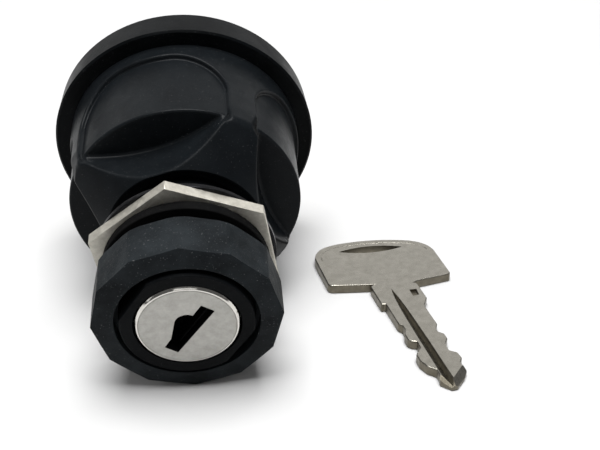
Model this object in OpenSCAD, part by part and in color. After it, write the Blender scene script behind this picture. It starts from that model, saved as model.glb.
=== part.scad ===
// Keyed battery switch for a boat's panel, with its loose key.
// The switch lies on a table, on the rim of its rear cover and the corner of its bezel ring,
// and the key lies flat beside it.
//
// Every piece of the switch is drawn on the switch's own axis: Z runs from the rear cover
// towards the key face, with zero at the front face of the cover, and Y runs along the keyway.
// lay_switch() then lays the finished switch on the table.

/* [Rear cover] */
// Radius of the cover at its front edge
cover_r = 26.7; // [26.2:0.1:27.5]
// Radius of the cover at its rear edge
cover_rear_r = 26.2; // [25.2:0.1:26.4]
// Thickness of the cover
cover_t = 8; // [6:0.1:9]
// Radius of the circle through the cover screws
screw_circle_r = 18.6; // [18.4:0.1:18.8]

/* [Body] */
// Radius of the body wall
body_r = 23.5; // [23.2:0.1:23.8]
// Distance from the cover to the floors of the grip recesses
grip_floor_z = 20.8; // [20:0.1:21.5]
// Radius of the sunken grip pads
grip_pad_r = 22.5; // [22.3:0.1:22.9]
// Radius of the scooped side of a grip recess
scoop_r = 34.3; // [33:0.1:36]
// Distance from the axis to the nearest point of a scoop
scoop_depth_r = 14.8; // [14.6:0.1:15.4]
// Number of grip recesses
grips = 4; // [3:1:4]
// Angle of the first grip recess from the switch's X axis
grip_turn = 49; // [40:1:50]
// Distance from the cover to the front edge of the body
body_front_z = 28.8; // [28.4:0.1:29.4]
// Radius of the front edge of the body
body_front_r = 14.6; // [14.2:0.1:14.8]

/* [Neck] */
// Radius of the threaded neck
neck_r = 12; // [11.8:0.05:12.1]
// Distance from the cover to the front face of the neck
neck_front_z = 53.5; // [52.6:0.1:53.6]
// Distance from the axis to each flat on the front of the neck
neck_flat = 10.8; // [10.6:0.1:11.2]
// Pitch of the neck thread
neck_pitch = 1.5; // [1.5:0.5:2]

/* [Nut and washers] */
// Width of the hexagon nut across its flats
nut_af = 32; // [31:0.5:32]
// Distance from the cover to the front face of the nut
nut_front_z = 38.2; // [37.5:0.1:38.3]
// Thickness of the nut
nut_t = 2.3; // [2.1:0.1:2.8]
// Outer radius of the flat washer behind the nut
flat_washer_r = 16.7; // [16:0.1:17]
// Outer radius of the rubber sealing washer
seal_r = 15.4; // [15:0.1:15.8]
// Thickness of the rubber sealing washer
seal_t = 2.1; // [1.8:0.1:2.2]

/* [Bezel ring] */
// Radius of the corners of the twelve-sided ring
bezel_r = 16.9; // [16.4:0.1:17.2]
// Distance from the cover to the rear face of the ring
bezel_rear_z = 43.8; // [43.6:0.1:44.4]
// Distance from the cover to the front end of the ring's flats
bezel_side_z = 52.1; // [51.6:0.1:52.4]
// Distance from the cover to the mouth of the ring
bezel_mouth_z = 52.9; // [52.6:0.1:53]
// Radius of the opening in the front of the ring
bezel_mouth_r = 12.75; // [12.6:0.05:12.9]

/* [Lock] */
// Radius of the metal face that turns with the key
face_r = 9.3; // [9.2:0.05:9.4]
// Distance from the cover to the front of the metal face
face_front_z = 53.8; // [53.6:0.1:54.2]
// Radius of the lock plug
plug_r = 7.55; // [7.5:0.05:7.6]
// Number of wafers in the plug
wafers = 5; // [5:1:5]
// Distance from one wafer to the next
wafer_step = 3.5; // [3.2:0.1:3.5]
// How far a wafer stands out of the plug when there is no key
wafer_out = 0.9; // [0.6:0.1:0.9]

/* [Terminals] */
// Radius of a terminal stud
stud_r = 4; // [3:0.5:4]
// Distance of each stud from the axis
stud_x = 10.5; // [10.4:0.1:10.8]
// How far a stud stands out of the cover
stud_out = 19; // [18:0.5:20]

/* [Key] */
// Thickness of the key
key_t = 2; // [1.8:0.1:2.2]
// Half the width of the key's blade
key_blade_w = 3.7; // [3.6:0.1:3.9]
// Distance from the start of the groove to the tip of the blade
key_blade_l = 31.9; // [31.5:0.1:32.5]
// Angle of the key on the table
key_turn = 11; // [0:1:20]

/* [Hidden] */
$fn = 96;
eps = 0.05;
black = [0.09, 0.1, 0.11];
nickel = [0.72, 0.7, 0.66];

// Turns of the switch and of the loose pieces on its neck, as it lies
roll = -33;
nut_turn = 12.3;
bezel_turn = 5.3;

// How the switch lies: the nose drops until the ring's lowest corner meets the table
cover_edge = 0.4;
bezel_low_r = bezel_r * cos(2.3);
lean = atan((cover_r - bezel_low_r) / (bezel_side_z + cover_edge));
axis_h = cover_r * cos(lean) - cover_edge * sin(lean);

// Place of the key: the start of its groove, measured from the centre of the cover's front
key_x = 41;
key_y = -23.3;
key_mid = 0.8;
key_right = 14.2;
key_head_low = 2.5;
key_stop_y = -4.4;
key_stop_w = 4.6;

// The origin is under the middle of the box around switch and key
right_x = key_x + key_right * cos(key_turn) - key_head_low * sin(key_turn);
front_y = key_y - key_blade_l * cos(key_turn);
rear_y = (cover_t + stud_out) * cos(lean)
    + (stud_r - stud_x * sin(roll)) * sin(lean);
mid_x = (right_x - cover_r) / 2;
mid_y = (front_y + rear_y) / 2;

// Body
cavity_r = 20.5;
cavity_z = 18.3;
shoulder_z = 20.2;
web_z = 24.5;
web_front_z = 27;
flange_r = 13.2;
flange_z = 21.5;
housing_rear_r = 10.8;
neck_seal_z = 25.9;
neck_tip_r = 11.8;
grip_top_z = 3.4;
grip_corner_r = 10.2;
grip_half_w = 15.1;
grip_end_z = 22.2;
grip_end_r = 2.2;
boss_r = 2.6;
pilot_r = 1.55;
spigot_r = 20.2;
spigot_in_r = 17.8;
gasket_in_r = 21.3;
gasket_out_r = 22.7;
screw_head_r = 2.9;
boss_turn = 45;

// Lock
running_gap = 0.05;
housing_rear_z = 16;
relief_low_z = 30.2;
relief_high_z = 48.4;
relief_r = 8.7;
face_rear_z = 51.7;
plug_rear_z = 14.2;
plug_front_z = 51.6;
o_ring_z = 49.8;
clip_t = 1;
clip_front_z = housing_rear_z - 0.1;
tail_r = 3.4;
tail_flat = 2.3;
tail_rear_z = 10.4;
keyway_w = 2.4;
keyway_l = 8.3;
face_slot_l = 11.4;
face_slot_x = 0.45;
keyway_rib_r = 2.3;
pocket_z = 47.6;
wafer_t = 1.2;
wafer_w = 6.5;
wafer_r = 7.45;
wafer_first_z = 32;
tab_x = 4.2;
tab_w = 1.7;
tab_h = 1.2;
wafer_spring_r = 0.42;
wafer_wire_r = 0.11;
wafer_spring_l = 3.4;
slot_gap = 0.1;

// Contacts
stud_head_r = 5.8;
stud_head_z = 3;
stud_head_sink = 1.2;
bridge_z = 3.15;
bridge_t = 2;
bridge_l = 29;
bridge_w = 8.6;
rotor_r = 9;
rotor_front_z = 14;
rotor_seat_z = 9.2;
cheek_z = 3.6;
spring_pocket_r = 3.7;
spring_r = 3;
spring_wire_r = 0.35;
spring_turns = 4;
washer_t = 1.2;
stud_washer_r = 8;
spring_washer_t = 1.6;
stud_nut_t = 5;
stud_boss_h = 0.8;
stud_relief_z = -cover_t - stud_boss_h - washer_t - spring_washer_t - stud_nut_t - 0.3;

module lay_switch() {
    translate([-mid_x, -mid_y, axis_h])
        rotate([90 + lean, 0, 0])
            rotate([0, 0, roll])
                children();
}

module lay_key() {
    translate([key_x - mid_x, key_y - mid_y, 0])
        rotate([0, 0, key_turn])
            children();
}

// A flat ring between two heights
module ring(outer, inner, low, high) {
    translate([0, 0, low])
        difference() {
            cylinder(h = high - low, r = outer);
            translate([0, 0, -1]) cylinder(h = high - low + 2, r = inner);
        }
}

// Pieces spaced evenly around the axis
module around(count, first) {
    for (i = [0 : count - 1]) rotate([0, 0, first + i * 360 / count]) children();
}

// Points on an arc, from one angle to another
function arc(x, y, r, from, to, steps) =
    [for (i = [0 : steps]) let (a = from + (to - from) * i / steps) [x + r * cos(a), y + r * sin(a)]];

// A coil spring of round wire that stands on Z
module coil(r, wire, length, turns, per_turn, sides) {
    count = turns * per_turn;
    climb = (length - 2 * wire) / count;
    points = [for (i = [0 : count]) for (k = [0 : sides - 1])
        let (a = i * 360 / per_turn, b = k * 360 / sides, out = r + wire * cos(b))
        [out * cos(a), out * sin(a), wire + climb * i + wire * sin(b)]];
    walls = [for (i = [0 : count - 1]) for (k = [0 : sides - 1])
        [i * sides + k, i * sides + (k + 1) % sides,
            (i + 1) * sides + (k + 1) % sides, (i + 1) * sides + k]];
    start = [for (k = [sides - 1 : -1 : 0]) k];
    end = [for (k = [0 : sides - 1]) count * sides + k];
    polyhedron(points = points, faces = concat(walls, [start, end]), convexity = 6);
}

// ---- Rear cover and its fixings ----

module cover_screw_holes() {
    around(grips, boss_turn)
        translate([screw_circle_r, 0, 0]) {
            translate([0, 0, -cover_t - 2]) cylinder(h = cover_t + 4, r = pilot_r + 0.15);
            translate([0, 0, -cover_t - 2]) cylinder(h = 5, r = screw_head_r + 0.3);
        }
}

module stud_places() {
    for (side = [-1, 1]) translate([side * stud_x, 0, 0]) children();
}

module rear_cover() {
    barrier = [2, 26, 6];
    color(black)
        lay_switch()
            difference() {
                union() {
                    rotate_extrude()
                        polygon([
                            [0, 0], [cover_r - cover_edge, 0], [cover_r, -cover_edge],
                            [cover_rear_r, -cover_t + 1], [cover_rear_r - 1, -cover_t],
                            [0, -cover_t]
                        ]);
                    ring(spigot_r, spigot_in_r, -1, 2);
                    stud_places()
                        translate([0, 0, -cover_t - stud_boss_h])
                            cylinder(h = 2, r = stud_washer_r + 0.8);
                    translate([-barrier.x / 2, -barrier.y / 2, -cover_t - barrier.z])
                        cube([barrier.x, barrier.y, barrier.z + 1]);
                }
                cover_screw_holes();
                around(grips, boss_turn)
                    translate([screw_circle_r, 0, eps]) cylinder(h = 4, r = boss_r + 0.2);
                stud_places() {
                    translate([0, 0, -cover_t - 4]) cylinder(h = 12, r = stud_r + running_gap);
                    translate([0, 0, -stud_head_sink - 0.05])
                        cylinder(h = 4, r = stud_head_r + 0.1, $fn = 6);
                }
            }
}

module cover_gasket() {
    color([0.05, 0.05, 0.05]) lay_switch() ring(gasket_out_r, gasket_in_r, 0.02, 0.98);
}

module cover_screws() {
    head_z = -cover_t + 0.4;
    color(nickel)
        lay_switch()
            around(grips, boss_turn)
                translate([screw_circle_r, 0, head_z])
                    difference() {
                        union() {
                            cylinder(h = 2.55, r = screw_head_r);
                            cylinder(h = 17, r = pilot_r - 0.03);
                        }
                        for (a = [0, 90])
                            rotate([0, 0, a]) translate([-1.7, -0.35, -1]) cube([3.4, 0.7, 2.4]);
                    }
}

// ---- Body ----

// Outline of a grip pad, seen from outside, with Y along the switch's axis
module grip_outline() {
    corner_y = grip_top_z + grip_corner_r;
    corner_x = grip_half_w - grip_corner_r;
    end_y = grip_end_z - grip_end_r;
    end_x = grip_half_w - grip_end_r;
    for (side = [-1, 1]) {
        translate([side * corner_x, corner_y]) circle(r = grip_corner_r);
        translate([side * end_x, end_y]) circle(r = grip_end_r);
    }
    translate([-corner_x, grip_top_z]) square([2 * corner_x, 10]);
    translate([-grip_half_w, corner_y]) square([2 * grip_half_w, end_y - corner_y]);
    translate([-end_x, corner_y]) square([2 * end_x, grip_end_z - corner_y]);
}

module grip_recess() {
    scoop_x = scoop_depth_r + scoop_r;
    translate([scoop_x, 0, grip_floor_z]) cylinder(h = 20, r = scoop_r, $fn = 180);
    difference() {
        rotate([90, 0, 90]) linear_extrude(30) grip_outline();
        translate([0, 0, -1]) cylinder(h = 40, r = grip_pad_r);
    }
}

module body_housing() {
    shoulder = 3;
    color(black)
        lay_switch()
            difference() {
                rotate_extrude()
                    polygon(concat(
                        [[0, 0], [body_r + 0.1, 0], [body_r, shoulder_z]],
                        arc(body_r - shoulder, shoulder_z, shoulder, 10, 50, 4),
                        [[body_front_r + 0.3, body_front_z], [body_front_r, body_front_z]],
                        [[body_front_r, web_front_z], [0, web_front_z]]
                    ));
                around(grips, grip_turn) grip_recess();
                difference() {
                    translate([0, 0, -1]) cylinder(h = cavity_z + 1, r = cavity_r);
                    around(grips, boss_turn)
                        translate([screw_circle_r, 0, 0.1]) cylinder(h = 30, r = boss_r);
                }
                around(grips, boss_turn)
                    translate([screw_circle_r, 0, -1]) cylinder(h = 13.5, r = pilot_r);
                ring(gasket_out_r + 0.1, gasket_in_r - 0.1, -1, 1);
                translate([0, 0, 10]) cylinder(h = web_z - 10, r = flange_r + 0.1);
                translate([0, 0, flange_z - 1.3]) cylinder(h = 1.25, r = flange_r + 0.6);
                translate([0, 0, 10]) cylinder(h = 30, r = neck_r + running_gap);
            }
}

// ---- Neck, and what is screwed on it ----

module thread_grooves(low, count) {
    depth = 0.6;
    for (i = [0 : count - 1])
        translate([0, 0, low + i * neck_pitch])
            rotate_extrude()
                polygon([
                    [neck_r - depth, 0], [neck_r + 1, -0.95], [neck_r + 1, 0.95]
                ]);
}

module lock_housing() {
    color(black)
        lay_switch()
            difference() {
                rotate_extrude()
                    polygon([
                        [0, housing_rear_z], [housing_rear_r, housing_rear_z],
                        [housing_rear_r, flange_z], [flange_r, flange_z],
                        [flange_r, web_z - eps], [neck_r, web_z - eps],
                        [neck_r, neck_front_z - 2.2], [neck_tip_r, neck_front_z - 2.2],
                        [neck_tip_r, neck_front_z - 0.2], [neck_tip_r - 0.2, neck_front_z],
                        [0, neck_front_z]
                    ]);
                thread_grooves(29.6, 7);
                thread_grooves(45.4, 5);
                for (side = [0, 180])
                    rotate([0, 0, side])
                        translate([neck_flat, -10, bezel_rear_z + 0.1]) cube([5, 20, 12]);
                ring(neck_r + 1, neck_r - 0.9, neck_seal_z - 0.6, neck_seal_z + 0.6);
                cylinder(h = 80, r = plug_r + running_gap);
                translate([0, 0, relief_low_z])
                    cylinder(h = relief_high_z - relief_low_z, r = relief_r);
                translate([0, 0, face_rear_z - eps]) cylinder(h = 5, r = face_r + 0.2);
            }
}

module housing_clip() {
    color(nickel)
        lay_switch()
            difference() {
                ring(flange_r + 0.5, housing_rear_r + 0.4, flange_z - 1.2, flange_z - 0.1);
                translate([8, -2, 19]) cube([8, 4, 4]);
            }
}

module neck_seal() {
    color([0.05, 0.05, 0.05])
        lay_switch()
            translate([0, 0, neck_seal_z])
                rotate_extrude() translate([neck_r - 0.42, 0]) circle(r = 0.46, $fn = 24);
}

module flat_washer() {
    front = nut_front_z - nut_t;
    color([0.12, 0.12, 0.13])
        lay_switch() ring(flat_washer_r, neck_r + 0.25, front - 1, front);
}

module hex_nut() {
    corner = nut_af / 2 / cos(30);
    low = nut_front_z - nut_t + 0.02;
    color(nickel)
        lay_switch()
            difference() {
                rotate([0, 0, nut_turn])
                    translate([0, 0, low]) cylinder(h = nut_front_z - low, r = corner, $fn = 6);
                cylinder(h = 80, r = neck_r + 0.08);
            }
}

module sealing_washer() {
    color([0.04, 0.04, 0.04])
        lay_switch()
            ring(seal_r, neck_r + 0.25, nut_front_z + 0.02, nut_front_z + seal_t);
}

module bezel_ring() {
    color(black)
        lay_switch()
            difference() {
                intersection() {
                    rotate([0, 0, bezel_turn])
                        translate([0, 0, bezel_rear_z])
                            cylinder(h = 20, r = bezel_r, $fn = 12);
                    rotate_extrude()
                        polygon([
                            [0, bezel_rear_z], [bezel_r - 0.4, bezel_rear_z],
                            [bezel_r + 0.6, bezel_rear_z + 1],
                            [bezel_r + 0.6, bezel_side_z],
                            [bezel_mouth_r + 0.2, bezel_mouth_z],
                            [0, bezel_mouth_z]
                        ]);
                }
                cylinder(h = 80, r = neck_r + 0.08);
                translate([0, 0, 50.6]) cylinder(h = 5, r = bezel_mouth_r);
            }
}

// ---- Lock plug ----

// The keyway, with room on one side for the key's rib
module keyway(length, rib) {
    rib_x = -0.95;
    rib_y = 1.25;
    translate([-keyway_w / 2, -length / 2]) square([keyway_w, length]);
    intersection() {
        union() {
            translate([rib_x, rib_y]) circle(r = rib);
            polygon([[0, rib_y], [rib_x - 0.97 * rib, rib_y - 0.25 * rib], [-keyway_w / 2, -3.4]]);
        }
        translate([-5, -5]) square([5, 10]);
    }
}

module face_slot() {
    translate([face_slot_x, -0.5]) keyway(face_slot_l, keyway_rib_r);
}

module plug_face() {
    color([0.7, 0.69, 0.66])
        lay_switch()
            difference() {
                rotate_extrude()
                    polygon([
                        [0, face_rear_z], [face_r, face_rear_z],
                        [face_r, face_front_z - 0.45], [face_r - 0.45, face_front_z],
                        [0, face_front_z]
                    ]);
                translate([0, 0, 50]) linear_extrude(10) face_slot();
            }
}

function wafer_side(i) = i % 2 == 0 ? 1 : -1;

module wafer_place(i) {
    translate([0, 0, wafer_first_z + i * wafer_step])
        rotate([0, 0, wafer_side(i) > 0 ? 0 : 180])
            children();
}

module wafer_slot() {
    wide = wafer_w + 2 * slot_gap;
    translate([0, 0, -slot_gap])
        linear_extrude(wafer_t + 2 * slot_gap) {
            translate([-wide / 2, -10]) square([wide, 20]);
            translate([0, wafer_out - wafer_spring_l - 0.05])
                square([tab_x + tab_w / 2 + slot_gap, wafer_spring_l + tab_h + slot_gap + 0.05]);
        }
}

module key_plug() {
    color([0.6, 0.58, 0.52])
        lay_switch()
            difference() {
                rotate_extrude()
                    polygon([
                        [0, tail_rear_z], [tail_r, tail_rear_z], [tail_r, plug_rear_z],
                        [plug_r, plug_rear_z], [plug_r, clip_front_z - clip_t - eps],
                        [plug_r - 1, clip_front_z - clip_t - eps],
                        [plug_r - 1, clip_front_z], [plug_r, clip_front_z],
                        [plug_r, o_ring_z - 0.6], [plug_r - 0.7, o_ring_z - 0.6],
                        [plug_r - 0.7, o_ring_z + 0.6], [plug_r, o_ring_z + 0.6],
                        [plug_r, plug_front_z], [0, plug_front_z]
                    ]);
                for (side = [0, 180])
                    rotate([0, 0, side])
                        translate([tail_flat, -5, tail_rear_z - 1])
                            cube([4, 10, plug_rear_z - tail_rear_z + 1]);
                translate([0, 0, 19]) linear_extrude(40) keyway(keyway_l, keyway_rib_r - 0.4);
                translate([0, 0, pocket_z]) linear_extrude(10) face_slot();
                for (i = [0 : wafers - 1]) wafer_place(i) wafer_slot();
            }
}

module plug_o_ring() {
    color([0.05, 0.05, 0.05])
        lay_switch()
            translate([0, 0, o_ring_z])
                rotate_extrude() translate([plug_r - 0.36, 0]) circle(r = 0.34, $fn = 24);
}

module plug_clip() {
    color(nickel)
        lay_switch()
            difference() {
                ring(plug_r + 1.2, plug_r - 0.95, clip_front_z - clip_t, clip_front_z - 0.02);
                translate([4, -3, 10]) cube([8, 6, 10]);
            }
}

module wafer(i) {
    color([0.75, 0.62, 0.32])
        lay_switch()
            wafer_place(i)
                translate([0, wafer_out, 0])
                    linear_extrude(wafer_t) {
                        difference() {
                            intersection() {
                                circle(r = wafer_r);
                                square([wafer_w, 20], center = true);
                            }
                            translate([0, -wafer_out / 2])
                                square([2.7 + keyway_w, keyway_l + 1], center = true);
                        }
                        translate([wafer_w / 2 - 0.3, 0])
                            square([tab_x + tab_w / 2 - wafer_w / 2 + 0.3, tab_h]);
                    }
}

module wafer_spring(i) {
    color(nickel)
        lay_switch()
            wafer_place(i)
                translate([tab_x + 0.15, wafer_out - wafer_spring_l - 0.02, wafer_t / 2])
                    rotate([-90, 0, 0])
                        coil(wafer_spring_r, wafer_wire_r, wafer_spring_l, 5, 12, 6);
}

// ---- Contacts ----

module rotor() {
    color([0.55, 0.12, 0.1])
        lay_switch()
            difference() {
                translate([0, 0, cheek_z]) cylinder(h = rotor_front_z - cheek_z, r = rotor_r);
                translate([-bridge_w / 2 - 0.15, -20, cheek_z - 1])
                    cube([bridge_w + 0.3, 40, bridge_z + bridge_t - cheek_z + 1.8]);
                cylinder(h = rotor_seat_z, r = spring_pocket_r);
                translate([0, 0, tail_rear_z - 0.2])
                    intersection() {
                        cylinder(h = 10, r = tail_r + 0.08);
                        translate([-tail_flat - 0.08, -5, 0])
                            cube([2 * tail_flat + 0.16, 10, 10]);
                    }
            }
}

module contact_bridge() {
    color([0.72, 0.43, 0.24])
        lay_switch() {
            translate([-bridge_w / 2, -bridge_l / 2, bridge_z + 0.6])
                cube([bridge_w, bridge_l, bridge_t - 0.6]);
            for (side = [-1, 1])
                translate([0, side * stud_x, bridge_z]) cylinder(h = 1, r = 3.4);
        }
}

module contact_spring() {
    low = bridge_z + bridge_t + 0.02;
    color(nickel)
        lay_switch()
            translate([0, 0, low])
                coil(spring_r, spring_wire_r, rotor_seat_z - low - 0.02, spring_turns, 20, 8);
}

module stud(side) {
    end_z = -cover_t - stud_out;
    color([0.78, 0.66, 0.36])
        lay_switch()
            translate([side * stud_x, 0, 0]) {
                translate([0, 0, -stud_head_sink])
                    cylinder(h = stud_head_sink + stud_head_z, r = stud_head_r, $fn = 6);
                rotate_extrude()
                    polygon([
                        [0, end_z], [stud_r - 0.6, end_z], [stud_r, end_z + 0.6],
                        [stud_r, stud_relief_z - 0.8], [stud_r - 0.5, stud_relief_z - 0.6],
                        [stud_r - 0.5, stud_relief_z], [stud_r, stud_relief_z],
                        [stud_r, 0], [0, 0]
                    ]);
            }
}

module stud_battery() {
    stud(-1);
}

module stud_load() {
    stud(1);
}

module stud_washers() {
    top = -cover_t - stud_boss_h - 0.02;
    color(nickel)
        lay_switch()
            stud_places() ring(stud_washer_r, stud_r + 0.2, top - washer_t, top);
}

module stud_spring_washers() {
    top = -cover_t - stud_boss_h - washer_t - 0.04;
    color(nickel)
        lay_switch()
            stud_places()
                difference() {
                    ring(6.6, stud_r + 0.15, top - spring_washer_t, top);
                    rotate([0, 0, 30])
                        translate([2, -0.3, top - spring_washer_t - 1])
                            cube([8, 0.6, spring_washer_t + 2]);
                }
}

module stud_nuts() {
    top = -cover_t - stud_boss_h - washer_t - spring_washer_t - 0.06;
    corner = 13 / 2 / cos(30);
    color(nickel)
        lay_switch()
            stud_places()
                translate([0, 0, top - stud_nut_t])
                    difference() {
                        intersection() {
                            cylinder(h = stud_nut_t, r = corner, $fn = 6);
                            rotate_extrude()
                                polygon([
                                    [0, 0], [corner - 0.9, 0], [corner, 0.5],
                                    [corner, stud_nut_t - 0.5],
                                    [corner - 0.9, stud_nut_t], [0, stud_nut_t]
                                ]);
                        }
                        translate([0, 0, -1]) cylinder(h = stud_nut_t + 2, r = stud_r + 0.03);
                    }
}

// ---- Key ----

// Outline of the key, from its left stop round the blade's tip and over the head
function key_points() = concat(
    [
        [key_mid - key_stop_w, key_stop_y], [key_mid - key_blade_w, key_stop_y],
        [key_mid - key_blade_w, -28], [-1.4, -29.8], [key_mid - 0.7, 0.4 - key_blade_l],
        [key_mid, -key_blade_l], [key_mid + 1, 0.6 - key_blade_l], [3.4, -29.6],
        [key_mid + key_blade_w, -28], [key_mid + key_blade_w, key_stop_y - 2],
        [key_mid + key_stop_w + 0.5, key_stop_y], [key_mid + key_stop_w + 0.5, 1.2], [6.3, 1.9]
    ],
    arc(key_right - 0.8, key_head_low + 0.8, 0.8, -80, 0, 3),
    arc(8.3, 12, 6, 0, 62, 8),
    arc(-3.4, -15.5, 36, 67.5, 94, 10),
    arc(-6.5, 14.9, 5.3, 100, 180, 8),
    arc(-10.7, 6, 1.3, 185, 255, 4),
    arc(-4.9, 2.1, 1.2, 75, 0, 4)
);

// A cut in one edge of the blade, given by its corners: how far along and how deep
module key_cut(side, points) {
    edge = key_mid + side * key_blade_w;
    polygon(concat(
        [[edge + side * 2, points[0].x]],
        [for (p = points) [edge - side * p.y, p.x]],
        [[edge + side * 2, points[len(points) - 1].x]]
    ));
}

module key_outline() {
    lens_r = 20;
    lens_d = 18.7;
    difference() {
        polygon(key_points());
        key_cut(-1, [[-11.6, -0.1], [-12.5, 0.55], [-13.6, 0.6], [-15.4, -0.1]]);
        key_cut(-1, [[-17, -0.1], [-17.9, 0.7], [-18.2, 1.4], [-20, 1.3], [-21.7, 0.1], [-22, -0.1]]);
        key_cut(-1, [[-23.9, -0.1], [-25.9, 0.4], [-27.4, 1.7], [-29.3, 1.7], [-29.9, 0.9]]);
        key_cut(1, [[-13.6, -0.1], [-15.2, 0.75], [-16.1, 0.8], [-17.4, -0.1]]);
        key_cut(1, [[-18.5, -0.1], [-20.1, 0.9], [-22.2, 1.1], [-23.4, 0.1], [-23.8, -0.1]]);
        key_cut(1, [[-25.4, -0.1], [-26.4, 0.5], [-27.1, 0.5], [-28, -0.1]]);
        translate([1, 16.3])
            rotate([0, 0, -6.5])
                intersection() {
                    translate([0, -lens_d]) circle(r = lens_r);
                    translate([0, lens_d]) circle(r = lens_r);
                }
    }
}

module key() {
    groove_w = 1.7;
    groove_d = 0.95;
    bevel = 1.3;
    color(nickel)
        lay_key()
            difference() {
                linear_extrude(key_t) key_outline();
                translate([0, -2.5, key_t])
                    rotate([90, 0, 0])
                        linear_extrude(key_blade_l)
                            polygon([[-groove_w / 2, 0.01], [0, -groove_d], [groove_w / 2, 0.01]]);
                for (turn = [-40, 45])
                    translate([key_mid, -key_blade_l, key_t - bevel])
                        rotate([0, 0, turn])
                            rotate([40, 0, 0])
                                translate([-10, -5, 0]) cube([20, 10, 5]);
            }
}

rear_cover();
cover_gasket();
cover_screws();
body_housing();
lock_housing();
housing_clip();
neck_seal();
flat_washer();
hex_nut();
sealing_washer();
bezel_ring();
plug_face();
key_plug();
plug_o_ring();
plug_clip();
rotor();
contact_bridge();
contact_spring();
wafer(0);  // wafer_1
wafer(1);  // wafer_2
wafer(2);  // wafer_3
wafer(3);  // wafer_4
wafer(4);  // wafer_5
wafer_spring(0);  // wafer_spring_1
wafer_spring(1);  // wafer_spring_2
wafer_spring(2);  // wafer_spring_3
wafer_spring(3);  // wafer_spring_4
wafer_spring(4);  // wafer_spring_5
stud_battery();
stud_load();
stud_washers();
stud_spring_washers();
stud_nuts();
key();
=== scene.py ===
import math

import bmesh
import bpy
import numpy as np
from mathutils import Matrix, Vector


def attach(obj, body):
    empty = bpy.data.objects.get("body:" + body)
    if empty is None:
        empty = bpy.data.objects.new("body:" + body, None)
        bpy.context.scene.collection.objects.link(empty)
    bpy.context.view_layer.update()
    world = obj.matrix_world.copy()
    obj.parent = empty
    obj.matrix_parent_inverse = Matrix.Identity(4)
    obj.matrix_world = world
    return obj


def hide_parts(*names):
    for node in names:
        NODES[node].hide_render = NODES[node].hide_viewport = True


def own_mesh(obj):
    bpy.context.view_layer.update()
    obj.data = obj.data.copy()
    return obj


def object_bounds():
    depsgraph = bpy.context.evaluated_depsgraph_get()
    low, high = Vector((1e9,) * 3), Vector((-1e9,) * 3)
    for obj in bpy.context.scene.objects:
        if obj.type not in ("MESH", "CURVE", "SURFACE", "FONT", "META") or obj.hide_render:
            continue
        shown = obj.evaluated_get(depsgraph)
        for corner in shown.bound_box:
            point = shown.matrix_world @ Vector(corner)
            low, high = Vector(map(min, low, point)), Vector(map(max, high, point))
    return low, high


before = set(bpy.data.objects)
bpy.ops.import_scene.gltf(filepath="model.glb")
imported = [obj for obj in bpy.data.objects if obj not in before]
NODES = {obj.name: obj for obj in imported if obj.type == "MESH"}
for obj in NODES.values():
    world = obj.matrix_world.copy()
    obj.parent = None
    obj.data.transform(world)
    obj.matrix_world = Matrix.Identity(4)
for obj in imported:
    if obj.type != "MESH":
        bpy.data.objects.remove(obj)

cad_low, cad_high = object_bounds()
MM = 0.001

# ---- Sizes of the switch, in millimetres, on its own axis: zero at the cover's front ----
COVER_R, COVER_T, COVER_EDGE = 26.7, 8, 0.4
BODY_R, BODY_FRONT_Z, BODY_FRONT_R = 23.5, 28.8, 14.6
SHOULDER_Z, SHOULDER_R, CONE_ANGLE = 20.2, 3, math.radians(50)
WEB_Z, WEB_FRONT_Z, CAVITY_R, CAVITY_Z = 24.5, 27, 20.5, 18.3
FLANGE_R, FLANGE_Z, CLIP_T, CLIP_GAP = 13.2, 21.5, 1.25, 0.6
GASKET_IN_R, GASKET_OUT_R, GASKET_Z = 21.2, 22.8, 1
FIT = 0.05
NECK_R, BEZEL_R, BEZEL_SIDE_Z = 12, 16.9, 52.1
FACE_R, FACE_REAR_Z, FACE_FRONT_Z = 9.3, 51.7, 53.8
STUD_X, STUD_R, STUD_OUT, STUD_HEAD_R, STUD_PITCH = 10.5, 4, 19, 5.8, 1.25

# Sunken grips: a flat pad with a scoop below it. GRIP_SHIFT turns each from an even spacing.
GRIPS, GRIP_TURN, GRIP_SHIFT = 4, 49, np.radians([-3.6, 1.4, 0, 0])
GRIP_TOP_Z, GRIP_CORNER_R, GRIP_HALF_W = 3.3, 10.2, 15.1
GRIP_END_Z, GRIP_END_R, GRIP_PAD_R = 22.8, 3.0, 22.5
SCOOP_FLOOR_Z, SCOOP_R, SCOOP_DEPTH_R = 20.8, 34.3, 14.8

# Key, and where the switch and the key lie
KEY_T, KEY_BLADE_L, KEY_RIGHT, KEY_HEAD_LOW = 2, 31.9, 14.2, 2.5
KEY_X, KEY_Y, KEY_TURN = 41, -23.3, math.radians(11)
BEZEL_LEAN_TURN = math.radians(2.3)
ROLL = math.radians(-33)
LEAN = math.atan((COVER_R - BEZEL_R * math.cos(BEZEL_LEAN_TURN)) / (BEZEL_SIDE_Z + COVER_EDGE))
AXIS_H = COVER_R * math.cos(LEAN) - COVER_EDGE * math.sin(LEAN)
MID_X = (KEY_X + KEY_RIGHT * math.cos(KEY_TURN) - KEY_HEAD_LOW * math.sin(KEY_TURN) - COVER_R) / 2
MID_Y = (KEY_Y - KEY_BLADE_L * math.cos(KEY_TURN) + (COVER_T + STUD_OUT) * math.cos(LEAN)
         + (STUD_R - STUD_X * math.sin(ROLL)) * math.sin(LEAN)) / 2

SWITCH = (Matrix.Translation(Vector((-MID_X, -MID_Y, AXIS_H)) * MM)
          @ Matrix.Rotation(math.radians(90) + LEAN, 4, "X") @ Matrix.Rotation(ROLL, 4, "Z"))
KEY = (Matrix.Translation(Vector((KEY_X - MID_X, KEY_Y - MID_Y, 0)) * MM)
       @ Matrix.Rotation(KEY_TURN, 4, "Z"))


# ---- Mesh helpers: everything is drawn in millimetres ----

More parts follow.
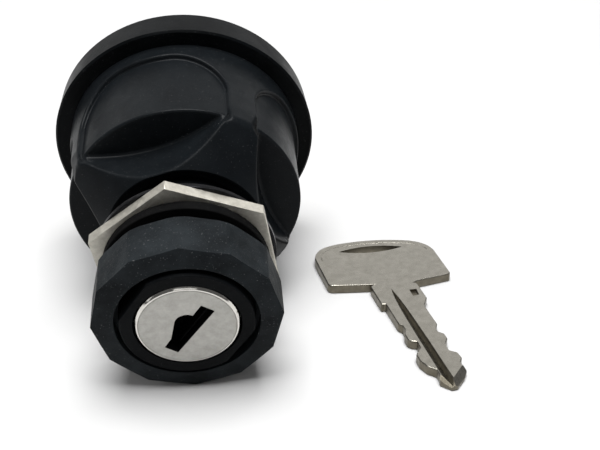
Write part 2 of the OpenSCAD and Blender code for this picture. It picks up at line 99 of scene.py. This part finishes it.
def rounded(points, steps=4, closed=False):
    """A path through (x, y, fillet radius) points, with each corner turned into an arc."""
    out = []
    for i, (x, y, r) in enumerate(points):
        if r == 0 or (not closed and i in (0, len(points) - 1)):
            out.append((x, y))
            continue
        p = Vector((x, y))
        a = Vector(points[i - 1][:2]) - p
        b = Vector(points[(i + 1) % len(points)][:2]) - p
        half = a.angle(b) / 2
        t = min(r / math.tan(half), 0.49 * a.length, 0.49 * b.length)
        centre = p + (a.normalized() + b.normalized()).normalized() * (t / math.cos(half))
        start, end = p + a.normalized() * t - centre, p + b.normalized() * t - centre
        first = math.atan2(start.y, start.x)
        turn = (math.atan2(end.y, end.x) - first + math.pi) % (2 * math.pi) - math.pi
        for k in range(steps + 1):
            angle = first + turn * k / steps
            out.append((centre.x + start.length * math.cos(angle),
                        centre.y + start.length * math.sin(angle)))
    return out


def to_mesh(bm):
    bmesh.ops.recalc_face_normals(bm, faces=bm.faces)
    mesh = bpy.data.meshes.new("part")
    bm.to_mesh(mesh)
    bm.free()
    return mesh


def lathe(profile, segments=192):
    """A solid of revolution about Z from (r, z) points that start and end on the axis."""
    bm = bmesh.new()
    rings = []
    for r, z in profile:
        if r < 1e-6:
            rings.append([bm.verts.new((0, 0, z))] * segments)
        else:
            rings.append([bm.verts.new((r * math.cos(2 * math.pi * k / segments),
                                        r * math.sin(2 * math.pi * k / segments), z))
                          for k in range(segments)])
    for a, b in zip(rings, rings[1:]):
        for k in range(segments):
            n = (k + 1) % segments
            corners = list(dict.fromkeys([a[k], a[n], b[n], b[k]]))
            if len(corners) > 2:
                bm.faces.new(corners)
    return to_mesh(bm)


def prism(outline, low, high):
    """A straight solid with the given outline."""
    bm = bmesh.new()
    bottom = [bm.verts.new((x, y, low)) for x, y in outline]
    top = [bm.verts.new((x, y, high)) for x, y in outline]
    bm.faces.new(bottom)
    bm.faces.new(top)
    for k in range(len(outline)):
        n = (k + 1) % len(outline)
        bm.faces.new([bottom[k], bottom[n], top[n], top[k]])
    return to_mesh(bm)


def arc(x, y, r, first, last, steps):
    return [(x + r * math.cos(math.radians(first + (last - first) * k / steps)),
             y + r * math.sin(math.radians(first + (last - first) * k / steps)))
            for k in range(steps + 1)]


def box(x0, x1, y0, y1):
    return [(x0, y0), (x1, y0), (x1, y1), (x0, y1)]


def inset(outline, distance):
    """The outline moved inwards, for points that run anticlockwise."""
    out = []
    for i, point in enumerate(outline):
        p = Vector(point)
        a = (p - Vector(outline[i - 1])).normalized()
        b = (Vector(outline[(i + 1) % len(outline)]) - p).normalized()
        normal = Vector((-a.y - b.y, a.x + b.x))
        scale = min(2 / max(normal.length_squared, 0.5), 2)
        out.append(tuple(p + normal * (distance * scale)))
    return out


def tablet(outline, low, high, r, steps=4):
    """A flat solid with the given outline and rounded edges."""
    bm = bmesh.new()
    rings = []
    for bottom in (True, False):
        for k in range(steps + 1):
            a = math.radians(90 * (k if bottom else steps - k) / steps)
            z = low + r * (1 - math.cos(a)) if bottom else high - r * (1 - math.cos(a))
            rings.append([bm.verts.new((x, y, z)) for x, y in inset(outline, r * (1 - math.sin(a)))])
    for a, b in zip(rings, rings[1:]):
        for k in range(len(outline)):
            n = (k + 1) % len(outline)
            bm.faces.new([a[k], a[n], b[n], b[k]])
    bm.faces.new(rings[0])
    bm.faces.new(rings[-1])
    return to_mesh(bm)


def channel(path, top, section=((-1, 0), (0, -1), (1, 0))):
    """The cutter of a groove along (x, y, half width, depth) points."""
    bm = bmesh.new()
    rows = []
    for i, (x, y, half, depth) in enumerate(path):
        ahead, behind = path[min(i + 1, len(path) - 1)], path[max(i - 1, 0)]
        along = (Vector(ahead[:2]) - Vector(behind[:2])).normalized()
        across = Vector((along.y, -along.x)) * half
        corners = [(x + across.x * u, y + across.y * u, top + depth * w) for u, w in section]
        corners = [(*corners[0][:2], top + 0.4)] + corners + [(*corners[-1][:2], top + 0.4)]
        rows.append([bm.verts.new(corner) for corner in corners])
    for a, b in zip(rows, rows[1:]):
        for k in range(len(section) + 2):
            n = (k + 1) % (len(section) + 2)
            bm.faces.new([a[k], a[n], b[n], b[k]])
    bm.faces.new(rows[0])
    bm.faces.new(rows[-1])
    return to_mesh(bm)


def combine(mesh, others, how="DIFFERENCE"):
    """mesh with the other meshes taken away from it, joined to it or shared with it."""
    base = bpy.data.objects.new("base", mesh)
    bpy.context.scene.collection.objects.link(base)
    made = [base]
    for other in others:
        tool = bpy.data.objects.new("tool", other)
        bpy.context.scene.collection.objects.link(tool)
        made.append(tool)
        step = base.modifiers.new("cut", "BOOLEAN")
        step.operation, step.object, step.solver = how, tool, "EXACT"
    result = bpy.data.meshes.new_from_object(
        base.evaluated_get(bpy.context.evaluated_depsgraph_get()))
    for o in made:
        bpy.data.objects.remove(o)
    return result


def smooth(obj, angle=35):
    """Smooth shading that keeps the large faces flat."""
    obj.data.shade_smooth()
    obj.data.set_sharp_from_angle(angle=math.radians(angle))
    weighted = obj.modifiers.new("normals", "WEIGHTED_NORMAL")
    weighted.keep_sharp = True


def piece(name, mesh, place, body, material, stands_for=()):
    mesh.transform(place @ Matrix.Scale(MM, 4))
    mesh.name = name
    mesh.materials.clear()
    mesh.materials.append(material)
    obj = bpy.data.objects.new(name, mesh)
    bpy.context.scene.collection.objects.link(obj)
    smooth(obj)
    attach(obj, body)
    if stands_for:
        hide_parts(*stands_for)
    return obj


def dress(node, material, width=0.0, segments=2):
    """A CAD node with its material, and with its sharp edges rounded."""
    obj = NODES[node]
    obj.data.materials.clear()
    obj.data.materials.append(material)
    weld = obj.modifiers.new("weld", "WELD")
    weld.merge_threshold = 2e-7
    if width:
        bevel = obj.modifiers.new("edges", "BEVEL")
        bevel.width, bevel.segments = width * MM, segments
        bevel.limit_method, bevel.angle_limit = "ANGLE", math.radians(35)
        bevel.use_clamp_overlap = True
    weighted = obj.modifiers.new("normals", "WEIGHTED_NORMAL")
    weighted.keep_sharp = False
    return obj


# ---- Materials ----

class Nodes:
    """A material's node tree, with short ways to add to it."""

    def __init__(self, name):
        self.material = bpy.data.materials.new(name)
        self.material.use_nodes = True
        self.tree = self.material.node_tree
        self.shader = self.tree.nodes["Principled BSDF"]
        self.place = self.tree.nodes.new("ShaderNodeTexCoord").outputs["Object"]

    def noise(self, size, detail=3, roughness=0.5):
        """Noise whose features are about size millimetres across."""
        node = self.tree.nodes.new("ShaderNodeTexNoise")
        node.inputs["Scale"].default_value = 1 / (size * MM)
        node.inputs["Detail"].default_value = detail
        node.inputs["Roughness"].default_value = roughness
        self.tree.links.new(self.place, node.inputs["Vector"])
        return node.outputs["Fac"]

    def ramp(self, fac, *stops):
        node = self.tree.nodes.new("ShaderNodeValToRGB")
        elements = node.color_ramp.elements
        while len(elements) < len(stops):
            elements.new(0.5)
        for element, (position, colour) in zip(elements, stops):
            element.position = position
            element.color = (*colour, 1) if len(colour) == 3 else colour
        self.tree.links.new(fac, node.inputs["Fac"])
        return node.outputs["Color"]

    def span(self, fac, low, high, start=0.3, end=0.7):
        node = self.tree.nodes.new("ShaderNodeMapRange")
        for key, value in (("From Min", start), ("From Max", end), ("To Min", low), ("To Max", high)):
            node.inputs[key].default_value = value
        self.tree.links.new(fac, node.inputs["Value"])
        return node.outputs["Result"]

    def blend(self, fac, a, b, how="MIX"):
        node = self.tree.nodes.new("ShaderNodeMix")
        node.data_type, node.blend_type = "RGBA", how
        for socket, value in ((node.inputs["Factor"], fac), (node.inputs[6], a), (node.inputs[7], b)):
            if isinstance(value, (int, float)):
                socket.default_value = value
            elif isinstance(value, tuple):
                socket.default_value = (*value, 1)
            else:
                self.tree.links.new(value, socket)
        return node.outputs[2]

    def bump(self, height, depth, below=None):
        """Relief of about depth millimetres."""
        node = self.tree.nodes.new("ShaderNodeBump")
        node.inputs["Distance"].default_value = depth * MM
        node.inputs["Strength"].default_value = 1.0
        self.tree.links.new(height, node.inputs["Height"])
        if below is not None:
            self.tree.links.new(below, node.inputs["Normal"])
        return node.outputs["Normal"]

    def finish(self, colour, roughness, normal, **values):
        self.tree.links.new(colour, self.shader.inputs["Base Color"])
        self.tree.links.new(roughness, self.shader.inputs["Roughness"])
        self.tree.links.new(normal, self.shader.inputs["Normal"])
        for key, value in values.items():
            self.shader.inputs[key.replace("_", " ")].default_value = value
        return self.material


def plastic(name, dark, light, rough, grain, depth, specks=0.03, shine=0.09):
    """Moulded plastic: slow colour drift, fine matt grain and a little pale dust."""
    n = Nodes(name)
    drift = n.ramp(n.noise(7, 4, 0.6), (0.35, dark), (0.7, light))
    dust = n.ramp(n.noise(0.32, 2, 0.7), (0.66, (0, 0, 0)), (0.78, (1, 1, 1)))
    colour = n.blend(dust, drift, n.blend(1 - specks, (1.0, 1.0, 1.0), drift))
    roughness = n.span(n.noise(2.5, 5, 0.65), rough[0], rough[1])
    normal = n.bump(n.noise(grain, 3, 0.6), depth, n.bump(n.noise(3.5, 2, 0.5), 0.012))
    return n.finish(colour, roughness, normal, Specular_IOR_Level=shine)


def metal(name, dark, light, rough, grain, depth, wave=0.01, wave_size=4.0):
    """Metal with cloudy tarnish, a fine surface grain and a slow unevenness."""
    n = Nodes(name)
    cloud = n.ramp(n.noise(1.6, 6, 0.7), (0.3, dark), (0.68, light))
    roughness = n.span(n.noise(0.9, 5, 0.7), rough[0], rough[1])
    normal = n.bump(n.noise(grain, 4, 0.65), depth, n.bump(n.noise(wave_size, 2, 0.5), wave))
    return n.finish(cloud, roughness, normal, Metallic=1.0)


black = plastic("black_plastic", (0.0038, 0.0047, 0.0056), (0.0056, 0.0070, 0.0083),
                (0.28, 0.42), 0.22, 0.022, 0.06, 0.068)
cover_black = plastic("cover_plastic", (0.0014, 0.0018, 0.0021), (0.0030, 0.0037, 0.0043),
                      (0.28, 0.40), 0.22, 0.018, 0.05, 0.038)
ring_black = plastic("ring_plastic", (0.0058, 0.0073, 0.0084), (0.0150, 0.0184, 0.0208),
                     (0.42, 0.58), 0.18, 0.045, 0.14, 0.05)
neck_black = plastic("neck_plastic", (0.0018, 0.0022, 0.0026), (0.0032, 0.0038, 0.0044),
                     (0.5, 0.62), 0.15, 0.012, 0.03, 0.05)
bright = metal("nickel", (0.46, 0.44, 0.385), (0.66, 0.635, 0.57), (0.44, 0.60), 0.3, 0.020, 0.03)
polished = metal("polished_nickel", (0.60, 0.58, 0.54), (0.72, 0.70, 0.66),
                 (0.08, 0.14), 0.3, 0.002, 0.01)
blackened = metal("blackened_steel", (0.012, 0.012, 0.013), (0.024, 0.024, 0.026),
                  (0.3, 0.42), 0.25, 0.004)
satin = metal("satin_nickel", (0.33, 0.325, 0.30), (0.44, 0.43, 0.405), (0.36, 0.5), 0.2, 0.010)
key_metal = metal("key_nickel", (0.25, 0.237, 0.205), (0.335, 0.318, 0.28),
                  (0.22, 0.36), 0.22, 0.010, 0.015, 2.2)
# Darker, rougher metal: partly the key's duller cut edges, partly painted shade on the sides, the
# groove's steep side and the pit floor.
key_edge_and_shade = metal("key_edge_and_shade", (0.10, 0.090, 0.068), (0.19, 0.172, 0.135),
                 (0.3, 0.46), 0.18, 0.014, 0.02, 1.2)
# Near-black zinc: painted shade for the dark keyhole, used on the key plug and on the slot walls of the
# lock face, which show only down the keyhole.
painted_shade_zinc = metal("painted_shade_zinc", (0.008, 0.008, 0.009), (0.016, 0.016, 0.017),
                  (0.5, 0.65), 0.25, 0.008)
plated = metal("zinc_plated", (0.56, 0.57, 0.58), (0.72, 0.73, 0.74), (0.2, 0.34), 0.3, 0.005)
brass = metal("brass", (0.56, 0.42, 0.16), (0.76, 0.60, 0.28), (0.22, 0.36), 0.25, 0.006)
stud_brass = metal("stud_brass", (0.58, 0.45, 0.20), (0.78, 0.64, 0.34), (0.2, 0.34), 0.25, 0.006)
copper = metal("copper", (0.60, 0.28, 0.16), (0.82, 0.45, 0.30), (0.24, 0.4), 0.25, 0.006)
spring = metal("spring_steel", (0.40, 0.41, 0.42), (0.56, 0.57, 0.58), (0.2, 0.32), 0.2, 0.004)
rubber = plastic("rubber", (0.0020, 0.0020, 0.0021), (0.0040, 0.0040, 0.0041),
                 (0.7, 0.85), 0.2, 0.02, 0.02, 0.04)
red = plastic("red_plastic", (0.26, 0.022, 0.016), (0.34, 0.034, 0.024),
              (0.36, 0.48), 0.2, 0.008, 0.0)

# ---- CAD nodes that keep their own shape ----
# The key plug takes the near-black zinc, painted shade in the keyhole.
for node, material, width in (
        ("rear_cover", cover_black, 0.25), ("cover_gasket", rubber, 0.1), ("cover_screws", plated, 0.12),
        ("lock_housing", neck_black, 0.15), ("housing_clip", spring, 0.1), ("neck_seal", rubber, 0),
        ("flat_washer", blackened, 0.12), ("hex_nut", bright, 0.15), ("sealing_washer", rubber, 0.25),
        ("bezel_ring", ring_black, 0.2), ("key_plug", painted_shade_zinc, 0.1), ("plug_o_ring", rubber, 0),
        ("plug_clip", spring, 0.1), ("rotor", red, 0.2), ("contact_bridge", copper, 0.2),
        ("stud_washers", plated, 0.12), ("stud_spring_washers", spring, 0.12),
        ("stud_nuts", stud_brass, 0.15)):
    dress(node, material, width)
for i in range(1, 6):
    dress(f"wafer_{i}", brass, 0.05)


# ---- Body: a domed cup with four sunken grips, its edges rounded as moulded ----

def smooth_max(a, b, k):
    """The larger of two distances, with the edge between them rounded over about k."""
    h = np.maximum(k - np.abs(a - b), 0) / k
    return np.maximum(a, b) + h * h * k / 4


def body_distance(r, turn, z):
    """How far a point is outside the body's outer surface: negative inside."""
    step = 2 * math.pi / GRIPS
    place = np.mod(turn - math.radians(GRIP_TURN) + step / 2, 2 * math.pi)
    local = place % step - step / 2 - GRIP_SHIFT[(place // step).astype(int) % GRIPS]
    x, y = r * np.cos(local), r * np.sin(local)
    arc_z = np.clip(z - SHOULDER_Z, 0, SHOULDER_R * math.sin(CONE_ANGLE))
    arc_r = BODY_R - SHOULDER_R + np.sqrt(SHOULDER_R ** 2 - arc_z ** 2)
    beyond = np.maximum(z - SHOULDER_Z - SHOULDER_R * math.sin(CONE_ANGLE), 0)
    lean = np.arcsin(arc_z / SHOULDER_R)
    dome = (r - arc_r + beyond * math.tan(CONE_ANGLE)) * np.cos(lean)
    scoop = smooth_max(np.hypot(x - SCOOP_DEPTH_R - SCOOP_R, y) - SCOOP_R, SCOOP_FLOOR_Z - z, 0.8)
    middle, half = (GRIP_TOP_Z + GRIP_END_Z) / 2, (GRIP_END_Z - GRIP_TOP_Z) / 2
    corner = np.where(z < middle, GRIP_CORNER_R, GRIP_END_R)
    qy, qz = np.abs(y) - GRIP_HALF_W + corner, np.abs(z - middle) - half + corner
    outline = (np.hypot(np.maximum(qy, 0), np.maximum(qz, 0))
               + np.minimum(np.maximum(qy, qz), 0) - corner)
    slope = 0.15 + 0.6 * np.clip(1.3 * np.abs(y) / GRIP_HALF_W - 0.3, 0, 1) ** 2
    pad = smooth_max(GRIP_PAD_R - BODY_R - dome, outline - slope * dome, 0.35)
    hollow = -smooth_max(-scoop, -pad, 0.45)
    return smooth_max(dome, -hollow, 0.45)


def body_mesh(columns=1080, rows=240, halvings=34):
    """The body's skin, met along rays that come in at 45 degrees, closed by its turned inside."""
    root = math.sqrt(2)
    turn = np.arange(columns) * 2 * math.pi / columns
    along = np.linspace(-BODY_R, BODY_FRONT_Z - BODY_FRONT_R - 0.3, rows + 1) / root
    turn, along = np.meshgrid(turn, along)
    nominal = np.interp(along[:, 0], along[[0, -1], 0],
                        [BODY_R / root, (BODY_FRONT_Z + BODY_FRONT_R) / root])
    low = np.repeat((nominal - 11)[:, None], columns, 1)
    high = low + 17

    def on_ray(depth):
        return (depth - along) / root, (depth + along) / root

    for _ in range(halvings):
        middle = (low + high) / 2
        r, z = on_ray(middle)
        outside = body_distance(r, turn, z) > 0
        high = np.where(outside, middle, high)
        low = np.where(outside, low, middle)
    r, z = on_ray((low + high) / 2)
    x, y = r * np.cos(turn), r * np.sin(turn)

    def field(x, y, z):
        return body_distance(np.hypot(x, y), np.arctan2(y, x), z)

    step = 0.03
    normal = np.stack([field(x + step, y, z) - field(x - step, y, z),
                       field(x, y + step, z) - field(x, y - step, z),
                       field(x, y, z + step) - field(x, y, z - step)], -1)
    normal /= np.linalg.norm(normal, axis=-1, keepdims=True)
    points = np.stack([x, y, z], -1).reshape(-1, 3)
    seat_r, groove_r = FLANGE_R + 2 * FIT, FLANGE_R + CLIP_GAP
    groove_front = FLANGE_Z - FIT
    groove_rear = groove_front - CLIP_T
    inside = [(BODY_FRONT_R, BODY_FRONT_Z), (BODY_FRONT_R, WEB_FRONT_Z), (NECK_R + FIT, WEB_FRONT_Z),
              (NECK_R + FIT, WEB_Z), (seat_r, WEB_Z), (seat_r, groove_front), (groove_r, groove_front),
              (groove_r, groove_rear), (seat_r, groove_rear), (seat_r, CAVITY_Z), (CAVITY_R, CAVITY_Z),
              (CAVITY_R, 0), (GASKET_IN_R, 0), (GASKET_IN_R, GASKET_Z), (GASKET_OUT_R, GASKET_Z),
              (GASKET_OUT_R, 0)]
    circle = np.stack([np.cos(turn[0]), np.sin(turn[0])], -1)
    rings = [np.concatenate([circle * r0, np.full((columns, 1), float(z0))], 1) for r0, z0 in inside]
    points = np.concatenate([points] + rings)
    total = rows + 1 + len(inside)
    k = np.arange(columns)
    faces = []
    for row in range(total):
        a, b = row * columns, (row + 1) % total * columns
        faces.append(np.stack([a + k, a + (k + 1) % columns, b + (k + 1) % columns, b + k], 1))
    faces = np.concatenate(faces)
    mesh = bpy.data.meshes.new("part")
    mesh.from_pydata(points.tolist(), [], faces.tolist())
    mesh.update()
    mesh.shade_smooth()
    face_normals = np.zeros(len(faces) * 3, np.float32)
    mesh.polygons.foreach_get("normal", face_normals)
    face_normals = face_normals.reshape(-1, 3)
    loops = np.repeat(face_normals, 4, 0)
    outer = rows * columns
    loops[:outer * 4] = normal.reshape(-1, 3)[faces[:outer].reshape(-1)]
    mesh.normals_split_custom_set(loops.tolist())
    return mesh


body = body_mesh()
body.name = "moulded_body"
body.transform(SWITCH @ Matrix.Scale(MM, 4))
body.materials.append(black)
body_object = bpy.data.objects.new("moulded_body", body)
bpy.context.scene.collection.objects.link(body_object)
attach(body_object, "switch")
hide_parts("body_housing")

# ---- Lock face: a satin disc with a thin ring scored inside its polished edge ----
face_slot = [(1.8, -6.3), (2.12, 5.45), (2.02, 5.55), (-0.5, 5.55), (-0.6, 5.45), (-0.6, 2.75)] \
    + arc(-0.45, 0.55, 2.2, 100, 196, 14) + [(-0.98, -4.0), (-0.9, -6.3), (-0.8, -6.4), (1.7, -6.4)]
face_disc = lathe(rounded([
    (0, FACE_REAR_Z, 0), (FACE_R, FACE_REAR_Z, 0), (FACE_R, FACE_FRONT_Z - 0.55, 0.18),
    (FACE_R - 0.42, FACE_FRONT_Z - 0.03, 0.18), (FACE_R - 0.66, FACE_FRONT_Z, 0),
    (FACE_R - 0.74, FACE_FRONT_Z - 0.09, 0), (FACE_R - 0.82, FACE_FRONT_Z, 0), (0, FACE_FRONT_Z, 0)]))
face_mesh = combine(face_disc, [prism(face_slot, 50, 56)])
# Lock face slots: 1 is the polished rim, 2 is the near-black zinc on the slot's walls, painted shade
# inside the keyhole.
EDGE_FINISH, SLOT_SHADE = 1, 2
face_finish_and_shade = [EDGE_FINISH if math.hypot(face.center.x, face.center.y) > FACE_R - 0.7
               else SLOT_SHADE * (abs(face.normal.z) < 0.5) for face in face_mesh.polygons]
face_object = piece("lock_face", face_mesh, SWITCH, "plug", satin, ("plug_face",))
face_object.data.materials.append(polished)
face_object.data.materials.append(painted_shade_zinc)
face_object.data.polygons.foreach_set("material_index", face_finish_and_shade)


# ---- Terminal studs: a hexagon head and an M8 thread ----

def threaded_rod(r, depth, pitch, low, high, chamfer, columns=48, per_pitch=8):
    """A rod with a V thread, tapered at its lower end."""
    bm = bmesh.new()
    rows = []
    count = round((high - low) / pitch * per_pitch)
    for i in range(count + 1):
        z = low + (high - low) * i / count
        ring = []
        for k in range(columns):
            phase = (z / pitch - k / columns) % 1
            out = min(r - depth * abs(2 * phase - 1), r - chamfer + z - low)
            angle = 2 * math.pi * k / columns
            ring.append(bm.verts.new((out * math.cos(angle), out * math.sin(angle), z)))
        rows.append(ring)
    for a, b in zip(rows, rows[1:]):
        for k in range(columns):
            n = (k + 1) % columns
            bm.faces.new([a[k], a[n], b[n], b[k]])
    bm.faces.new(rows[0])
    bm.faces.new(rows[-1])
    return to_mesh(bm)


for name, node, side in (("battery_terminal", "stud_battery", -1), ("load_terminal", "stud_load", 1)):
    head = tablet(rounded([(x, y, 0.5) for x, y in arc(0, 0, STUD_HEAD_R, 0, 300, 5)], 4, True),
                  -1.2, 3, 0.25)
    stud = combine(threaded_rod(STUD_R, 0.7, STUD_PITCH, -COVER_T - STUD_OUT, -0.6, 0.8), [head], "UNION")
    stud.transform(Matrix.Translation((side * STUD_X, 0, 0)))
    piece(name, stud, SWITCH, "switch", stud_brass, (node,))

# ---- Springs: each CAD spring redrawn as a coil piece with a mesh of its own ----
for node, joint, travel in [("contact_spring", "contact_slide", 0.6)] + [
        (f"wafer_spring_{i}", f"wafer_slide_{i}", 0.9) for i in range(1, 6)]:
    coil = NODES[node].data.copy()
    coil.transform(Matrix.Scale(1 / MM, 4))
    obj = piece(node.replace("spring", "coil"), coil, Matrix.Identity(4), "plug", spring,
                (node,))
    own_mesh(obj)

# ---- Key: a stamped blank with rounded edges, a tapering groove and cut edges ----

key_outline = rounded([
    (-3.8, 3.12, 1.0), (-3.8, -4.4, 0.35), (-2.92, -4.4, 0.4), (-2.9, -11.65, 0.9), (-2.3, -12.5, 0.4),
    (-2.3, -13.7, 0.5), (-2.95, -15.3, 0.8), (-2.95, -17, 0.8), (-2.4, -17.75, 0.3), (-1.5, -18.1, 0.3),
    (-1.6, -20.1, 0.6), (-3.1, -21.8, 0.9), (-3.15, -23.8, 0.9), (-2.45, -25.9, 0.9), (-1.15, -27.3, 0.4),
    (-1.15, -28.5, 0.4), (-1.45, -29.7, 0.4), (0.1, -31.7, 0.6), (1.3, -31.7, 0.6), (3.5, -29.6, 0.9),
    (4.6, -28.1, 0.5), (4.02, -27.1, 0.3), (4.05, -26.3, 0.3), (4.85, -25.1, 0.7), (4.7, -23.3, 0.6),
    (3.4, -22.2, 0.5), (3.6, -20.1, 0.6), (4.6, -18.6, 0.7), (4.6, -17, 0.7), (3.7, -16.1, 0.3),
    (3.75, -15.1, 0.4), (4.5, -13.6, 0.6), (4.45, -7, 0.6), (5.95, -4.5, 0.5), (5.95, 1.4, 0.8)],
    4, True) + [(6.6, 1.95)] + arc(13.4, 3.3, 0.8, -80, 0, 4) + arc(8.3, 12, 6, 0, 62, 12) \
    + arc(-3.4, -15.5, 36, 67.5, 94, 12) + arc(-6.5, 14.9, 5.3, 100, 180, 12) \
    + arc(-10.7, 6, 1.3, 185, 255, 5)
LENS_X, LENS_Y, LENS_TURN = 1, 16.3, math.radians(-6.5)
lens = [(x * math.cos(LENS_TURN) - y * math.sin(LENS_TURN) + LENS_X,
         x * math.sin(LENS_TURN) + y * math.cos(LENS_TURN) + LENS_Y)
        for x, y in arc(0, 18.7, 20, 249.4, 290.6, 24) + arc(0, -18.7, 20, 69.4, 110.6, 24)[1:-1]]
groove = [(0.05, 0.3, 0.03, 0.03), (0.0, -1, 0.22, 0.25), (-0.02, -3, 0.42, 0.5), (-0.02, -6, 0.62, 0.75),
          (-0.02, -10, 0.74, 0.88), (0, -18, 0.86, 0.95), (0, -31, 0.92, 0.98), (0, -33, 0.92, 0.98)]
border = arc(-6.5, 14.9, 3.9, 186, 102, 10) + arc(-3.4, -15.5, 34.7, 93.5, 68.2, 12) \
    + arc(8.3, 12, 4.7, 60, 12, 8)
border = [(x, y, 0.04 + 0.16 * min(1, i / 5, (len(border) - 1 - i) / 5), 0.09)
          for i, (x, y) in enumerate(border)]
TIP_DEPTH, TIP_SLOPE, PIT_DEPTH, KEY_EDGE_R = 0.95, math.radians(42), 0.55, 0.27
tip_cuts = []
for turn in (-40, 45):
    cut = prism(box(-10, 10, -5, 5), 0, 5)
    cut.transform(Matrix.Translation((0.8, -KEY_BLADE_L, KEY_T - TIP_DEPTH))
                  @ Matrix.Rotation(math.radians(turn), 4, "Z") @ Matrix.Rotation(TIP_SLOPE, 4, "X"))
    tip_cuts.append(cut)
key_blank = combine(tablet(key_outline, 0, KEY_T, KEY_EDGE_R), [
    channel(groove, KEY_T, ((1, 0), (-0.4, -1), (-0.66, -0.3), (-1, 0))), channel(border, KEY_T),
    prism(lens, -1, 3),
    prism([(3.5, -0.9), (3.4, -3.3), (4.8, -3.1), (5.0, -1.0)], KEY_T - PIT_DEPTH, 3)] + tip_cuts)
# The cut edges, the groove's steep side and the floor of the pit are rougher than the faces and darker.
# The darker colour is painted shade, and on the cut edges it is partly their own duller sheared finish.
sheared_and_shaded = [abs(face.normal.z) < 0.35 or (abs(face.center.x) < 0.95 and face.center.y < 0.2
                                         and 0.9 < face.center.z < KEY_T - 0.03 and face.normal.x < -0.3)
           or (3 < face.center.x < 5.2 and -3.6 < face.center.y < -0.7 and 1.2 < face.center.z < 1.6)
           for face in key_blank.polygons]
key_object = piece("stamped_key", key_blank, KEY, "loose_key", key_metal, ("key",))
key_object.data.materials.append(key_edge_and_shade)
key_object.data.polygons.foreach_set("material_index", [int(rough) for rough in sheared_and_shaded])

# ---- Floor, light and camera ----
floor_mesh = bpy.data.meshes.new("floor")
floor_mesh.from_pydata([(-3, -3, 0), (3, -3, 0), (3, 3, 0), (-3, 3, 0)], [], [(0, 1, 2, 3)])
floor = bpy.data.objects.new("floor", floor_mesh)
bpy.context.scene.collection.objects.link(floor)
n = Nodes("floor")
paper = n.ramp(n.noise(60, 3), (0.3, (0.49, 0.49, 0.49)), (0.7, (0.515, 0.515, 0.515)))
floor_mesh.materials.append(n.finish(paper, n.span(n.noise(40, 3), 0.7, 0.8),
                                     n.bump(n.noise(1.2, 3), 0.01), Specular_IOR_Level=0.2))


def softbox(name, place, wide, high, radiance):
    """A soft area light that looks at the middle of the object."""
    data = bpy.data.lights.new(name, "AREA")
    data.shape, data.size, data.size_y = "RECTANGLE", wide, high
    data.energy = radiance * math.pi * wide * high
    obj = bpy.data.objects.new(name, data)
    bpy.context.scene.collection.objects.link(obj)
    obj.location = place
    obj.rotation_mode = "QUATERNION"
    obj.rotation_quaternion = (Vector(place) - centre).to_track_quat("Z", "Y")


centre = (cad_low + cad_high) / 2
softbox("top_light", (0.0, -0.12, 1.1), 0.75, 0.75, 14.4)
softbox("back_light", (0.0, 1.1, 0.62), 2.0, 1.1, 0.95)
softbox("left_light", (-1.0, 0.0, 0.5), 1.0, 0.8, 0.75)
softbox("right_light", (1.0, 0.0, 0.5), 1.0, 0.8, 0.12)
softbox("front_light", (-0.05, -0.95, 0.74), 0.8, 0.3, 0.9)

world = bpy.data.worlds.new("studio")
bpy.context.scene.world = world
world.use_nodes = True
world.node_tree.nodes["Background"].inputs["Color"].default_value = (1, 1, 1, 1)
world.node_tree.nodes["Background"].inputs["Strength"].default_value = 0.11
bpy.context.scene.view_settings.view_transform = "Standard"

optics = bpy.data.cameras.new("camera")
optics.lens, optics.sensor_width = 66, 36
optics.clip_start, optics.clip_end = 0.01, 20
camera = bpy.data.objects.new("camera", optics)
bpy.context.scene.collection.objects.link(camera)
camera.location = Vector((5.868 - MID_X, -209.495 - MID_Y, 127.2)) * MM
camera.rotation_mode = "QUATERNION"
camera.rotation_quaternion = Vector((0.07494, 0.86091, -0.50320)).to_track_quat("-Z", "Y")
bpy.context.scene.camera = camera
